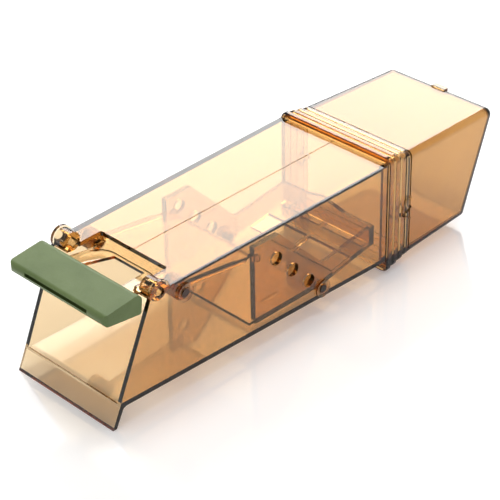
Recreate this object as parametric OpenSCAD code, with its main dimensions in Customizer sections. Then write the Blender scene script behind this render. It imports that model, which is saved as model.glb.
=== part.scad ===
// Live catch trap: a see-through tunnel with a drop door, a see-saw pedal and a pull-off bait cup.
// Modelled set, with the door held up under the roof. X is across, +Y runs from the mouth to the
// cup and +Z is up. The trap stands on z = 0, with the middle of its outline over the origin.

/* [Tunnel] */
// Length of the tunnel's roof, from its front edge to the cup's lip
tunnel_len = 145; // [140:1:155]
// Half the tunnel's outside width at the front edge of the roof
front_half = 32; // [31:0.5:34]
// How much each side wall spreads from the front to the cup's lip
side_spread = 2.3; // [1.5:0.1:3]
// Height of the roof's outer face at the front
roof_z = 57; // [56:0.5:58]
// How much the roof rises and the floor drops from front to cup
end_spread = 2.4; // [2:0.1:2.6]
// Height of the floor's underside at the front
floor_z = 9.3; // [9:0.1:9.6]
// How far the foot of the slanting mouth leans forward of the roof's front edge
mouth_lean = 21; // [16:0.5:23]
// Thickness of the clear plastic walls
wall = 2.2; // [1.8:0.1:2.4]
// Half the width of the notch that lets the lever rise through the roof
notch_half = 21.3; // [21:0.1:23]
// How far the notch is cut back from the roof's front edge
notch_len = 18.6; // [17:0.1:20]
// Diameter of the air holes in each side wall
air_hole_d = 6.6; // [5:0.1:7.5]

/* [Bait cup] */
// Depth of the ribbed collar that slips over the tunnel's end
collar_len = 17.6; // [16:0.2:20]
// Half the width of the collar's lip
collar_half = 35.2; // [35.2:0.1:36.5]
// Height of the top of the collar's lip
collar_top = 62.3; // [62.2:0.1:63.5]
// Length of the cup's roof behind the collar
cup_len = 61.7; // [50:0.5:75]
// How far the cup's back wall slopes in towards its foot
cup_rake = 17.2; // [8:0.5:20]

/* [Door] */
// Distance from the door's hinge to its free edge
door_reach = 46; // [44:0.5:46]
// Half the width of the door panel
door_half = 25.8; // [24.5:0.1:25.8]
// Downward slope of the raised door, in degrees
door_slope = 7.4; // [7:0.1:8]
// Diameter of the hinge pins of the door and the pedal
pin_d = 4; // [3.6:0.1:4]

/* [Grip] */
// Width of the green grip
grip_w = 62; // [50:1:64]
// Depth of the grip, front to back
grip_depth = 21; // [19:0.5:22]

/* [Pedal] */
// Thickness of the pedal's tall cheeks
cheek_t = 3; // [2.4:0.1:3]
// Height of the cheeks' top edge
cheek_top = 51; // [49:0.5:51.2]
// Height of the pedal's rear wall
rear_wall_h = 10; // [7:0.5:11]

/* [Hidden] */
$fn = 64;

amber = [0.85, 0.6, 0.35, 0.5];
dark_amber = [0.35, 0.2, 0.1];
leaf_green = [0.47, 0.56, 0.38];

run_gap = 0.05;
eps = 0.01;
big = 400;

// The tunnel's floor is thinner than its sides and roof
floor_t = wall - 0.8;

// Lengthways places, measured back from the front edge of the roof
sill_y = mouth_lean + 4.3;
spigot_len = collar_len - 2.6;
cup_y = tunnel_len + collar_len;
back_y = cup_y + cup_len;
grip_back = 4.6;
grip_front = grip_back + grip_depth;
mid_y = (back_y - grip_front) / 2;

// The door's hinge, the pedal's pivot and the hollow corner barrels, as [y, z]
hinge = [17.9, 50.1];
pivot = [101.5, 12.4];
barrel_at = [4.4, 56.6];

side_taper = side_spread / tunnel_len;
end_taper = end_spread / tunnel_len;
function half_at(y) = front_half + side_taper * y;
function roof_at(y) = roof_z + end_taper * y;
function floor_at(y) = floor_z - end_taper * y;

pin_hole_d = pin_d + 2 * run_gap;
// How far a pin goes into the moving piece
pin_bite = 2;

// Everything is drawn from the roof's front edge and then centred
module placed() {
    translate([0, -mid_y, 0]) children();
}

module both_sides() {
    children();
    mirror([1, 0, 0]) children();
}

// A side view in y and z, made w wide across the trap
module side_slab(w) {
    rotate([90, 0, 90]) translate([0, 0, -w / 2]) linear_extrude(w) children();
}

// A front view in x and z, made from y0 for a length len
module front_slab(y0, len) {
    translate([0, y0 + len, 0]) rotate([90, 0, 0]) linear_extrude(len) children();
}

// A rod across the trap from x0 to x1 at a [y, z] place
module rod(x0, x1, at, d) {
    translate([x0, at[0], at[1]]) rotate([0, 90, 0]) cylinder(h = x1 - x0, d = d);
}

// A rectangle in x and z with round corners of radius r
module round_frame(half, z0, z1, r) {
    translate([-half, z0 + r]) square([2 * half, z1 - z0 - 2 * r]);
    translate([-half + r, z0]) square([2 * half - 2 * r, z1 - z0]);
    for (x = [-half + r, half - r], z = [z0 + r, z1 - r]) translate([x, z]) circle(r);
}

/* ---- Tunnel ---- */

// The plan of a tapering box from y0 to y1, t in from the tunnel's outer faces
module tapered_plan(y0, y1, t) {
    linear_extrude(big, center = true) polygon([
        [-half_at(y0) + t, y0], [half_at(y0) - t, y0],
        [half_at(y1) - t, y1], [-half_at(y1) + t, y1]]);
}

module tunnel_block() {
    intersection() {
        tapered_plan(-sill_y - 5, tunnel_len, 0);
        side_slab(big) polygon([
            [0, roof_z], [-mouth_lean, floor_z],
            [tunnel_len, floor_at(tunnel_len)], [tunnel_len, roof_at(tunnel_len)]]);
    }
}

module tunnel_space() {
    intersection() {
        tapered_plan(-sill_y - 5, tunnel_len, wall);
        side_slab(big) polygon([
            [-mouth_lean - 8, floor_at(-8) + floor_t], [-mouth_lean - 8, roof_z - wall],
            [0, roof_z - wall], [tunnel_len + eps, roof_at(tunnel_len) - wall],
            [tunnel_len + eps, floor_at(tunnel_len) + floor_t]]);
    }
}

// The sill carries the slant of the mouth down to the ground
module sill() {
    side_slab(2 * half_at(-sill_y)) polygon([
        [-sill_y, 0], [-mouth_lean, floor_z], [-mouth_lean + 2 * wall, floor_z],
        [-mouth_lean + wall, floor_z - wall * 0.4], [-sill_y + wall, 0]]);
}

// A stepped-in end that the cup's collar slips over
module spigot() {
    half = half_at(tunnel_len) - 1.4;
    top = roof_at(tunnel_len);
    low = floor_at(tunnel_len);
    difference() {
        front_slab(tunnel_len - eps, spigot_len) round_frame(half, low, top, 1.5);
        front_slab(tunnel_len - 1, spigot_len + 2) round_frame(half - wall, low + floor_t, top - wall, 0.8);
    }
    // Ring that joins the step to the tunnel's walls
    difference() {
        front_slab(tunnel_len - wall, wall) round_frame(half_at(tunnel_len) - 0.3, low, top, 0.5);
        front_slab(tunnel_len - wall - 1, wall + 2) round_frame(half - wall, low + floor_t, top - wall, 0.8);
    }
    // Low nib behind each side's slit in the collar
    both_sides() translate([half - 0.2, tunnel_len + 11, 25]) cube([0.4, 1.6, 5]);
}

module corner_barrel() {
    rod(notch_half + 3, half_at(0), barrel_at, 9.4);
    rod(half_at(0) - 1.3, half_at(0) + 0.2, barrel_at, 11);
}

module air_holes() {
    first = [72.6, 41.6];
    pitch = 14.7;
    row_angle = 46;
    for (k = [0 : 2]) {
        at = [first[0] + k * pitch * cos(row_angle), first[1] - k * pitch * sin(row_angle)];
        rod(-big / 2, big / 2, at, air_hole_d);
    }
}

module notch() {
    corner_r = 1.2;
    translate([0, 0, roof_z - 8]) linear_extrude(20) {
        translate([-notch_half, -10]) square([2 * notch_half, notch_len + 10 - corner_r]);
        translate([-notch_half + corner_r, 0]) square([2 * (notch_half - corner_r), notch_len]);
        for (side = [-1, 1]) translate([side * (notch_half - corner_r), notch_len - corner_r])
            circle(corner_r);
    }
}

// Fine moulding line down the middle of the roof and the floor
module parting_line() {
    line_w = 0.5;
    line_h = 0.25;
    side_slab(line_w) polygon([
        [notch_len, roof_at(notch_len) - eps], [notch_len, roof_at(notch_len) + line_h],
        [tunnel_len, roof_at(tunnel_len) + line_h], [tunnel_len, roof_at(tunnel_len) - eps]]);
}

module tunnel() {
    color(amber) placed() difference() {
        union() {
            difference() {
                tunnel_block();
                tunnel_space();
            }
            sill();
            spigot();
            both_sides() corner_barrel();
            parting_line();
        }
        notch();
        air_holes();
        both_sides() rod(notch_half, half_at(0) + 2, barrel_at, 4.6);
        rod(-big / 2, big / 2, hinge, pin_hole_d);
        rod(-big / 2, big / 2, pivot, pin_hole_d);
    }
}

/* ---- Bait cup ---- */

collar_steps = 4;
fit_gap = 0.3;

// Ribbed collar: four ridges with sloping flanks that get smaller towards the cup
module collar() {
    pitch = collar_len / collar_steps;
    groove = 1;
    flank = 0.8;
    flank_drop = 0.6;
    ridge = pitch - groove;
    for (k = [0 : collar_steps - 1]) {
        half = collar_half - 0.25 * k;
        top = collar_top - 0.75 * k;
        foot = 0.9 * k;
        y0 = tunnel_len + k * pitch;
        hull() {
            front_slab(y0 + flank, ridge - 2 * flank) round_frame(half, foot, top, 4);
            front_slab(y0, ridge)
                round_frame(half - flank_drop, foot + flank_drop, top - flank_drop, 4 - flank_drop);
        }
        front_slab(y0 + ridge - eps, groove + 2 * eps)
            round_frame(half - 0.9, foot + 0.9, top - 1.1, 3.2);
    }
}

module collar_space() {
    half = half_at(tunnel_len) - 1.4 + fit_gap;
    front_slab(tunnel_len - 1, spigot_len + 2)
        round_frame(half, floor_at(tunnel_len) - fit_gap, roof_at(tunnel_len) + fit_gap, 1.8);
}

// The cup narrows and its back wall slopes; t is the distance in from its outer faces
module cup_form(t, start) {
    r = 3.4 - t * 0.7;
    half_front = half_at(tunnel_len) - 0.2 - t;
    half_back = half_front - 1.4;
    ball_x = half_back - r;
    hull() {
        front_slab(start, 0.5) round_frame(half_front, 3.5 + t, 59.5 - t, 3);
        for (side = [-1, 1]) {
            translate([side * ball_x, back_y - t * 1.05 - r, 58.1 - t - r]) sphere(r, $fn = 32);
            translate([side * ball_x, back_y - cup_rake - t * 1.05 - r, 4.5 + t + r]) sphere(r, $fn = 32);
        }
    }
}

// Half-round thumb mark with a slit, on each side of the collar
module thumb_mark() {
    at = [cup_y - 1.2, 30];
    x0 = collar_half - 1.6;
    intersection() {
        difference() {
            rod(x0, collar_half + 0.1, at, 12);
            rod(x0 - 1, collar_half + 1, at, 10.4);
        }
        translate([x0, at[0] - 10, 0]) cube([5, 10, 80]);
    }
}

module thumb_slit() {
    translate([collar_half - 6, cup_y - 6.6, 26.6]) rotate([20, 0, 0]) cube([12, 7.4, 1.3]);
}

module bait_ring() {
    translate([8, cup_y + 21, 5.4]) rotate_extrude() translate([4.4, 0]) square([1.5, 2]);
}

// Small lug in the middle of the cup's rear edge
module rear_lug() {
    translate([-4, back_y - 3.2, 57.2]) cube([8, 3, 1.6]);
}

module bait_cup() {
    color(amber) placed() {
        difference() {
            union() {
                collar();
                cup_form(0, cup_y - 0.6);
                both_sides() thumb_mark();
                rear_lug();
            }
            collar_space();
            cup_form(2, tunnel_len + spigot_len + 0.9);
            both_sides() thumb_slit();
        }
        bait_ring();
    }
}

/* ---- Door and lever ---- */

door_t = 2;
boss_d = 8.8;
bead_r = 1.3;
end_half = door_half - 1.3;
corner_from = door_reach - bead_r - 2;
lever_half = 20.6;
tongue_t = 1.8;
tongue_half = lever_half - 0.4;

// Sets the door's own plane, with the hinge as its origin
module on_door() {
    translate([0, hinge[0], hinge[1]]) rotate([-door_slope, 0, 0]) children();
}

// Wide panel behind the hinge, with cut corners at its free end, and narrower lever in front of it
module door_outline() {
    panel_front = 3;
    lever_front = hinge[0] + 1.5;
    polygon([
        [-door_half, -panel_front], [door_half, -panel_front],
        [door_half, corner_from], [end_half, door_reach - bead_r],
        [-end_half, door_reach - bead_r], [-door_half, corner_from]]);
    translate([-lever_half, -lever_front]) square([2 * lever_half, lever_front]);
}

// Round bead along the free edge
module free_edge() {
    translate([0, door_reach - bead_r, 0]) rotate([0, 90, 0])
        cylinder(h = 2 * end_half, r = bead_r, center = true);
}

// Deep edges down both sides, lower near the free edge
module door_edge() {
    edge_t = 1.8;
    edge_h = 3.2;
    step = 11;
    step_h = 1;
    translate([door_half - edge_t, 1, -edge_h / 2]) cube([edge_t, door_reach - 1 - step, edge_h]);
    translate([door_half - edge_t, 1, -edge_h / 2])
        cube([edge_t, corner_from - 1, edge_h - step_h]);
}

// Shallow dish in the top of the lever, round at the back
module lever_dish() {
    half = lever_half - 1.5;
    back = -1;
    corner_r = 8;
    depth = 0.6;
    length = hinge[0] + 1;
    translate([0, 0, door_t / 2 - depth]) linear_extrude(3) {
        translate([-half, back - length]) square([2 * half, length - corner_r]);
        translate([-half + corner_r, back - length]) square([2 * (half - corner_r), length]);
        for (side = [-1, 1]) translate([side * (half - corner_r), back - corner_r]) circle(corner_r);
    }
}

module finger_hole() {
    back = 2.4;
    back_half = 9.6;
    front_w = 12.6;
    length = 16;
    translate([0, -back, -10]) linear_extrude(20) polygon([
        [-back_half, 0], [back_half, 0], [front_w, -length], [-front_w, -length]]);
}

// Tongue that carries the lever's plane forwards into the grip; from and to are lengths in front of the hinge
module tongue(from, to) {
    translate([-tongue_half, -to, -tongue_t / 2]) cube([2 * tongue_half, to - from, tongue_t]);
}

module door() {
    color(amber) placed() difference() {
        on_door() {
            difference() {
                union() {
                    translate([0, 0, -door_t / 2]) linear_extrude(door_t) door_outline();
                    tongue(hinge[0], hinge[0] + grip_front - 3);
                }
                lever_dish();
            }
            free_edge();
            both_sides() door_edge();
            both_sides() rod(door_half - pin_bite - 1, front_half - wall - 0.4, [0, 0], boss_d);
        }
        on_door() finger_hole();
        both_sides() rod(door_half - pin_bite, front_half, hinge, pin_d);
    }
}

// Pin pressed into a moving piece from x0, out through the tunnel's wall to a stepped head
module headed_pin(x0, at) {
    wall_x = half_at(at[0]) + 0.2;
    rod(x0, wall_x + 0.1, at, pin_d);
    rod(wall_x, wall_x + 0.8, at, pin_d + 4.8);
    rod(wall_x + 0.7, wall_x + 1.4, at, pin_d + 1.4);
}

module door_pin() {
    headed_pin(door_half - pin_bite, hinge);
}

module door_pin_right() {
    color(dark_amber) placed() door_pin();
}

module door_pin_left() {
    color(dark_amber) placed() mirror([1, 0, 0]) door_pin();
}

/* ---- Grip ---- */

// Side view of the grip: rising forwards below, falling slightly forwards above, round edges
module grip_profile() {
    back = -grip_back;
    front = -grip_front;
    hull() {
        translate([back - 3.2, 56.6]) circle(3.2, $fn = 32);
        translate([back - 1.6, 51]) circle(1, $fn = 32);
        translate([front + 2.4, 55.6]) circle(2.4, $fn = 32);
        translate([front + 2, 53.2]) circle(1, $fn = 32);
    }
}

module grip() {
    end_r = 3;
    color(leaf_green) placed() difference() {
        intersection() {
            side_slab(grip_w) grip_profile();
            translate([0, 0, 40]) linear_extrude(40) {
                translate([-grip_w / 2, -grip_front + end_r])
                    square([grip_w, grip_depth - end_r]);
                translate([-grip_w / 2 + end_r, -grip_front]) square([grip_w - 2 * end_r, end_r * 2]);
                for (side = [-1, 1]) translate([side * (grip_w / 2 - end_r), -grip_front + end_r])
                    circle(end_r);
            }
        }
        on_door() tongue(hinge[0], hinge[0] + grip_front + 4);
    }
}

/* ---- Pedal ---- */

pedal_half = 29.2;
pedal_front = 61.5;
corner_y = 106;
corner_z = 22.4;
pedal_end = 141;
pedal_low = 10.9;
plate_t = 1.5;
rail_t = 2.2;
rail_top = 27;
slope_end = rail_top - rear_wall_h;

// Tall cheek in front of the pivot
module cheek() {
    shoulder_y = corner_y - (cheek_top - corner_z);
    intersection() {
        side_slab(big) polygon([
            [pedal_front, pedal_low], [pedal_front, cheek_top], [shoulder_y, cheek_top],
            [corner_y, corner_z], [corner_y, pedal_low]]);
        translate([pedal_half - cheek_t, 0, 0]) cube([cheek_t, big, big]);
    }
    // Stiffening bead on the outside
    translate([pedal_half - eps, 65, 20.6]) cube([0.4, 9.6, 1.2]);
}

// Low rail behind the pivot
module rail() {
    intersection() {
        side_slab(big) polygon([
            [corner_y - 1, pedal_low], [corner_y - 1, corner_z], [pedal_end, rail_top],
            [pedal_end, slope_end], [corner_y + 1, pedal_low]]);
        translate([pedal_half - 0.5 - rail_t, 0, 0]) cube([rail_t, big, big]);
    }
}

module tread_profile() {
    polygon([
        [58.5, pedal_low], [58.5, pedal_low + plate_t], [corner_y, pedal_low + plate_t],
        [pedal_end, slope_end + plate_t], [pedal_end, slope_end], [corner_y + 1, pedal_low]]);
}

// Two pairs of openings leave a cross bar and a middle rib in the rear tread
module tread_openings() {
    rib = 1;
    inner = pedal_half - 0.5 - rail_t - 1;
    for (y0_y1 = [[114, 126.5], [135, 139]])
        both_sides() translate([rib, y0_y1[0], 0]) cube([inner - rib, y0_y1[1] - y0_y1[0], 60]);
}

// Rear wall with a gently raised middle
module rear_wall() {
    hump = 2.2;
    hump_half = 14;
    half = pedal_half - 0.5;
    front_slab(pedal_end - rail_t, rail_t) polygon(concat(
        [[-half, slope_end - 0.2], [half, slope_end - 0.2], [half, rail_top]],
        [for (x = [hump_half : -1 : -hump_half]) [x, rail_top + hump / 2 * (1 + cos(180 * x / hump_half))]],
        [[-half, rail_top]]));
}

// Small nib on the cheek that the door's free edge rests against when set
module catch_nib() {
    reach_y = hinge[0] + door_reach + fit_gap;
    translate([pedal_half - cheek_t - 2, 0, 0]) intersection() {
        translate([0, reach_y, 41]) cube([2 + eps, 2.4, 5]);
        translate([0, reach_y - 1, 42]) rotate([-12, 0, 0]) cube([3, 6, 3]);
    }
}

module pedal() {
    color(amber) placed() difference() {
        union() {
            both_sides() {
                cheek();
                rail();
                catch_nib();
                rod(pedal_half - cheek_t - 1, pedal_half + 0.4, [pivot[0], pivot[1] + 0.4], 5.4);
            }
            difference() {
                side_slab(2 * (pedal_half - 1)) tread_profile();
                tread_openings();
            }
            rear_wall();
        }
        both_sides() rod(pedal_half - pin_bite, front_half, pivot, pin_d);
    }
}

module pedal_pin() {
    headed_pin(pedal_half - pin_bite, pivot);
}

module pedal_pin_right() {
    color(amber) placed() pedal_pin();
}

module pedal_pin_left() {
    color(amber) placed() mirror([1, 0, 0]) pedal_pin();
}

tunnel();
bait_cup();
door();
door_pin_left();
door_pin_right();
grip();
pedal();
pedal_pin_left();
pedal_pin_right();
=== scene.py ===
# %% [markdown]
# # A see-through live catch trap
# The trap is a clear amber tunnel with a drop door at the front, a see-saw pedal inside and
# a bait cup that pulls off the back. The imported model already holds every piece at its true
# size and on its own joint, so this lesson is about finish: how clear plastic, a soft grip
# and a white studio are made from nodes and lamps. The first step loads the pieces, moves
# each one's placement into its mesh and removes everything imported that is not a mesh.

import math

import bpy
from mathutils import Matrix, Vector

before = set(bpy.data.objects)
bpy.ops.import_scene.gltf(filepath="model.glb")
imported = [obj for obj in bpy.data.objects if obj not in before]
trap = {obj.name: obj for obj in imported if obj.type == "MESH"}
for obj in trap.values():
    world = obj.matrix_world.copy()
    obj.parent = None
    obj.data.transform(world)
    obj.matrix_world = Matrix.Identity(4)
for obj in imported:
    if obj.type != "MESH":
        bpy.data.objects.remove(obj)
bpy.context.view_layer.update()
scene = bpy.context.scene
print("pieces:", ", ".join(sorted(trap)))

# %% [markdown]
# ## A small kit for building materials
# A material is a graph of nodes. Writing one in code is easiest with two helpers: one that
# starts an empty material, and one that adds a node, sets its numbers and links its inputs
# in the same line. Every pattern here reads Object coordinates, which are metres on the
# trap, so a scale of 100 means features about 10 mm across and the grain stays the right
# size on every piece.

# %% Material helpers
def start_material(name):
    material = bpy.data.materials.new(name)
    material.use_nodes = True
    material.node_tree.nodes.clear()
    return material


def add_node(material, kind, inputs=None, **settings):
    node = material.node_tree.nodes.new("ShaderNode" + kind)
    for name, value in settings.items():
        setattr(node, name, value)
    for name, value in (inputs or {}).items():
        if isinstance(value, bpy.types.NodeSocket):
            material.node_tree.links.new(value, node.inputs[name])
        else:
            node.inputs[name].default_value = value
    return node


def on_piece(material, stretch=(1, 1, 1), turn=(0, 0, 0)):
    """Places on the piece in metres, stretched and turned for patterns that run one way."""
    place = add_node(material, "TexCoord").outputs["Object"]
    turned = [math.radians(angle) for angle in turn]
    return add_node(material, "Mapping", {"Vector": place, "Rotation": turned, "Scale": stretch}).outputs[0]


def noise(material, vector, scale, detail=3.0, wander=0.0):
    return add_node(material, "TexNoise", {
        "Vector": vector, "Scale": scale, "Detail": detail, "Distortion": wander}).outputs["Fac"]


def between(material, value, low, high, to_low, to_high):
    """Value stretched from low..high to to_low..to_high, and held at the ends."""
    return add_node(material, "MapRange", {
        "Value": value, "From Min": low, "From Max": high,
        "To Min": to_low, "To Max": to_high}).outputs["Result"]


def combine(material, operation, a, b):
    return add_node(material, "Math", {0: a, 1: b}, operation=operation).outputs[0]


def fade(material, amount, first, second):
    """One colour turning into another as amount goes from 0 to 1."""
    ramp = add_node(material, "ValToRGB", {"Fac": amount})
    ramp.color_ramp.elements[0].color = (*first, 1)
    ramp.color_ramp.elements[1].color = (*second, 1)
    return ramp.outputs["Color"]


print("material helpers are ready")

# %% [markdown]
# ## Clear amber plastic
# Real clear plastic is coloured all the way through, so a thick edge looks far darker than
# a thin wall. That is why the colour lives in a Volume Absorption node and not on the
# surface: light loses blue first, then green, for each millimetre it travels. The surface
# only bends and mirrors light. Handled plastic is never perfect, so three patterns disturb
# it: slow flow marks from moulding, faint smears left by fingers, and hairline scratches.
# Lamps reach the floor through the walls by a Transparent shader for shadow rays, which
# gives the warm shadow that such a trap casts without a long render.

# %% How much light a millimetre of plastic takes
amber_loss = {"red": 120.0, "green": 226.0, "blue": 425.0}  # per metre
headroom = 1.04  # keeps the blue of the tint just above zero
wall = 0.0022
amber_density = max(amber_loss.values()) * headroom
amber_tint = tuple(1 - loss / amber_density for loss in amber_loss.values())
for loss_name, loss in amber_loss.items():
    print(f"{loss_name} left after a {1000 * wall:.1f} mm wall: {math.exp(-loss * wall):.2f}")

# %% Flow marks, finger smears and scratches
def flow_marks(material):
    return noise(material, on_piece(material, (1, 0.35, 1)), scale=42.0, detail=2.0, wander=0.6)


def finger_smears(material):
    cloudy = noise(material, on_piece(material), scale=34.0, detail=4.0, wander=1.2)
    return between(material, cloudy, 0.52, 0.72, 0.0, 1.0)


def hairlines(material, turn, scale):
    """Thin scratches where a stretched noise crosses its middle, kept only in small patches."""
    streaks = noise(material, on_piece(material, (1, 0.03, 1), turn), scale, detail=1.0, wander=0.15)
    away = combine(material, "ABSOLUTE", combine(material, "SUBTRACT", streaks, 0.5), 0.0)
    patch = noise(material, on_piece(material), scale=60.0, detail=1.0)
    thin = between(material, away, 0.0, 0.012, 1.0, 0.0)
    return combine(material, "MULTIPLY", thin, between(material, patch, 0.5, 0.62, 0.0, 1.0))


print("patterns: flow marks, finger smears and hairlines")

# %% The amber plastic itself
def amber_plastic(name, gloss, haze, scratch, depth):
    """gloss is the clean roughness, haze and scratch add to it, and depth scales the colour."""
    material = start_material(name)
    flow = flow_marks(material)
    smears = finger_smears(material)
    lines = combine(material, "MAXIMUM",
                    hairlines(material, (0, 0, 12), 420.0), hairlines(material, (25, 10, -70), 380.0))
    roughness = combine(material, "ADD", between(material, smears, 0.0, 1.0, gloss, gloss + haze),
                        combine(material, "MULTIPLY", lines, scratch))
    colour = fade(material, flow, (0.93, 0.90, 0.86), (1.0, 0.985, 0.96))
    wave = add_node(material, "Bump", {"Height": flow, "Strength": 0.02, "Distance": 0.0006}).outputs[0]
    relief = add_node(material, "Bump", {
        "Height": lines, "Strength": 0.05, "Distance": 0.00005, "Normal": wave}).outputs[0]
    plastic = add_node(material, "BsdfPrincipled", {
        "Base Color": colour, "Roughness": roughness, "Normal": relief,
        "IOR": 1.49, "Transmission Weight": 1.0})
    lets_lamps_in = add_node(material, "BsdfTransparent", {"Color": (0.95, 0.93, 0.90, 1)})
    shadow = add_node(material, "LightPath").outputs["Is Shadow Ray"]
    surface = add_node(material, "MixShader", {
        0: shadow, 1: plastic.outputs[0], 2: lets_lamps_in.outputs[0]}).outputs[0]
    inside = add_node(material, "VolumeAbsorption", {
        "Color": (*amber_tint, 1), "Density": amber_density * depth}).outputs[0]
    add_node(material, "OutputMaterial", {"Surface": surface, "Volume": inside})
    return material


tunnel_amber = amber_plastic("tunnel_amber", gloss=0.004, haze=0.05, scratch=0.10, depth=0.9)
cup_amber = amber_plastic("cup_amber", gloss=0.004, haze=0.05, scratch=0.10, depth=1.3)
door_amber = amber_plastic("door_amber", gloss=0.004, haze=0.04, scratch=0.12, depth=0.9)
pedal_amber = amber_plastic("pedal_amber", gloss=0.008, haze=0.06, scratch=0.10, depth=0.8)
pin_amber = amber_plastic("pin_amber", gloss=0.03, haze=0.08, scratch=0.05, depth=1.6)
clear_plastics = (tunnel_amber, cup_amber, door_amber, pedal_amber, pin_amber)
print("clear plastics:", ", ".join(plastic.name for plastic in clear_plastics))

# %% [markdown]
# ## Soft green grip
# The grip is the only solid colour on the trap: a leaf green push-on moulding with a dull,
# slightly grainy skin. A high, even roughness would look like paint, so the grain is a fine
# noise used twice, once as bump and once to let the roughness vary a little. A slower noise
# shifts the green a few per cent, and the corners, where thumbs press, are paler.

# %% The green plastic
def leaf_green_plastic(name, rubbed):
    material = start_material(name)
    place = on_piece(material)
    grain = noise(material, place, scale=1500.0, detail=2.0)
    slow = noise(material, place, scale=60.0, detail=3.0, wander=0.5)
    colour = fade(material, between(material, slow, 0.3, 0.7, 0.0, 1.0),
                  (0.100 + rubbed, 0.150 + rubbed, 0.042 + rubbed),
                  (0.132 + rubbed, 0.188 + rubbed, 0.060 + rubbed))
    roughness = between(material, grain, 0.3, 0.7, 0.46 - rubbed, 0.60 - rubbed)
    relief = add_node(material, "Bump", {"Height": grain, "Strength": 0.28, "Distance": 0.0001}).outputs[0]
    plastic = add_node(material, "BsdfPrincipled", {
        "Base Color": colour, "Roughness": roughness, "Normal": relief, "IOR": 1.5})
    add_node(material, "OutputMaterial", {"Surface": plastic.outputs[0]})
    return material


grip_green = leaf_green_plastic("grip_green", rubbed=0.0)
grip_rubbed = leaf_green_plastic("grip_rubbed", rubbed=0.05)
print("grip plastics:", grip_green.name, grip_rubbed.name)

# %% [markdown]
# ## Put the finishes on the pieces
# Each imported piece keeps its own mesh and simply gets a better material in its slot. A
# Bevel modifier then rounds the edges: a fifth of a millimetre on most pieces, a little more
# on the cup and nearly a millimetre on the soft grip. Moulded plastic always has such an
# edge, and it is what catches the bright line of a lamp. The new faces can take a second
# material, so the grip's worn corners cost nothing more.

# %% Finishes
finish_of = {
    "tunnel": [tunnel_amber], "bait_cup": [cup_amber], "door": [door_amber],
    "pedal": [pedal_amber], "pedal_pin_left": [pin_amber], "pedal_pin_right": [pin_amber],
    "door_pin_left": [pin_amber], "door_pin_right": [pin_amber],
    "grip": [grip_green, grip_rubbed],
}
for name, finishes in finish_of.items():
    mesh = trap[name].data
    mesh.materials[0] = finishes[0]
    for finish in finishes[1:]:
        mesh.materials.append(finish)
print("finishes on each piece:", {name: len(trap[name].data.materials) for name in finish_of})

# %% Rounded edges
usual_edge = 0.0002
edge_of = {"grip": 0.0009, "bait_cup": 0.00035}
for name, finishes in finish_of.items():
    soft_edges = trap[name].modifiers.new("soft_edges", "BEVEL")
    soft_edges.width = edge_of.get(name, usual_edge)
    soft_edges.segments = 3
    soft_edges.limit_method = "ANGLE"
    soft_edges.angle_limit = math.radians(40)
    soft_edges.use_clamp_overlap = True
    if len(finishes) > 1:
        soft_edges.material = 1
print("edges in mm:", {name: 1000 * edge_of.get(name, usual_edge) for name in finish_of})

# %% [markdown]
# ## A white studio
# Clear objects are lit by what they mirror, so the studio matters more than lamp strength.
# The floor is one large pale sheet. A broad softbox stands behind the trap, low enough for
# the flat roof to mirror it towards the camera, which turns the roof almost white. A second
# one hangs almost straight above and lights the floor, and a pale sky fills in the rest.

# %% Floor
floor_half = 6.0
floor_gap = 0.0002  # keeps the sheet from touching the trap's feet


def pale_floor():
    corners = [(x * floor_half, y * floor_half, 0) for x, y in ((-1, -1), (1, -1), (1, 1), (-1, 1))]
    mesh = bpy.data.meshes.new("studio_floor")
    mesh.from_pydata(corners, [], [(0, 1, 2, 3)])
    floor = bpy.data.objects.new("studio_floor", mesh)
    scene.collection.objects.link(floor)
    floor.location.z = -floor_gap
    material = start_material("floor_white")
    tone = noise(material, on_piece(material), scale=3.0, detail=2.0)
    colour = fade(material, tone, (0.82, 0.82, 0.82), (0.85, 0.85, 0.85))
    sheet = add_node(material, "BsdfPrincipled", {
        "Base Color": colour, "Roughness": 0.11, "IOR": 1.36,
        "Emission Color": (1, 1, 1, 1), "Emission Strength": 0.24})
    add_node(material, "OutputMaterial", {"Surface": sheet.outputs[0]})
    mesh.materials.append(material)


pale_floor()
print("floor:", 2 * floor_half, "m square")

# %% Lamps and sky
trap_middle = Vector((0, 0, 0.03))
lamp_white = (1.0, 0.99, 0.99)


def softbox(name, toward, distance, wide, high, watts):
    """A rectangular lamp that faces the trap from the direction toward."""
    lamp = bpy.data.lights.new(name, "AREA")
    lamp.shape = "RECTANGLE"
    lamp.size = wide
    lamp.size_y = high
    lamp.energy = watts
    lamp.color = lamp_white
    stand = bpy.data.objects.new(name, lamp)
    scene.collection.objects.link(stand)
    direction = Vector(toward).normalized()
    stand.location = trap_middle + direction * distance
    stand.rotation_euler = direction.to_track_quat("Z", "Y").to_euler()
    print(f"{name}: {watts} W, shines with {watts / (math.pi * wide * high):.1f}")


softbox("roof_softbox", (-0.60, 0.59, 0.537), distance=1.6, wide=0.95, high=0.72, watts=11.5)
softbox("top_softbox", (-0.12, 0.10, 1.0), distance=1.5, wide=0.80, high=0.80, watts=13.5)


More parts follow.
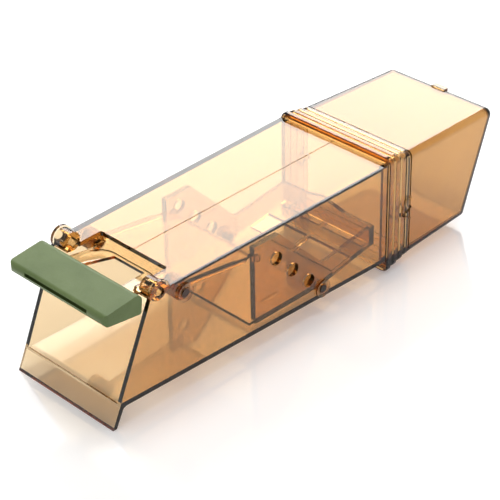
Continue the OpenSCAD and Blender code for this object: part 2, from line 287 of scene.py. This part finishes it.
def pale_sky():
    """A dim white sky that brightens towards the horizon, where it meets the floor."""
    world = bpy.data.worlds.new("pale_sky")
    world.use_nodes = True
    world.node_tree.nodes.clear()
    toward = add_node(world, "TexCoord").outputs["Generated"]
    height = add_node(world, "SeparateXYZ", {0: toward}).outputs["Z"]
    strength = between(world, height, 0.02, 0.22, 0.92, 0.42)
    glow = add_node(world, "Background", {"Color": (1, 1, 1, 1), "Strength": strength})
    add_node(world, "OutputWorld", {"Surface": glow.outputs[0]})
    return world


scene.world = pale_sky()
print("sky:", scene.world.name)

# %% [markdown]
# ## Light that passes through many walls
# A ray can cross a dozen sheets of plastic before it leaves the trap, so the limits on
# bounces are raised; with too few, the deepest parts turn black. Focused light spots are
# switched off because the shadow shader already carries the light through. The Standard
# view keeps the white floor white.

# %% Bounces and view
wall_bounces = 28
scene.cycles.max_bounces = wall_bounces
scene.cycles.transmission_bounces = wall_bounces
scene.cycles.transparent_max_bounces = 40
scene.cycles.glossy_bounces = 8
scene.cycles.caustics_refractive = False
scene.cycles.caustics_reflective = False
scene.view_settings.view_transform = "Standard"
print("bounces:", wall_bounces, "view:", scene.view_settings.view_transform)

# %% [markdown]
# ## The camera
# The camera looks down on the mouth's near corner with a long lens, from about 0.9 m. Its
# matrix is built from three directions: back towards the camera, right and up.

# %% Camera
azimuth, elevation, roll = (math.radians(angle) for angle in (45.589, 32.466, -1.102))
aim = Vector((-0.05682, 0.04488, -0.02628))
distance = 0.92584
back = Vector((math.sin(azimuth) * math.cos(elevation),
               -math.cos(azimuth) * math.cos(elevation), math.sin(elevation)))
right = Vector((0, 0, 1)).cross(back).normalized()
up = back.cross(right)
right, up = (math.cos(roll) * right + math.sin(roll) * up,
             math.cos(roll) * up - math.sin(roll) * right)
lens = bpy.data.cameras.new("studio_camera")
lens.lens = 129.39
lens.sensor_width = 36.0
lens.clip_start = 0.01
lens.clip_end = 50.0
camera = bpy.data.objects.new("studio_camera", lens)
scene.collection.objects.link(camera)
camera.matrix_world = Matrix((right, up, back)).transposed().to_4x4()
camera.location = aim + back * distance
scene.camera = camera
print("camera at", [round(c, 4) for c in camera.location])
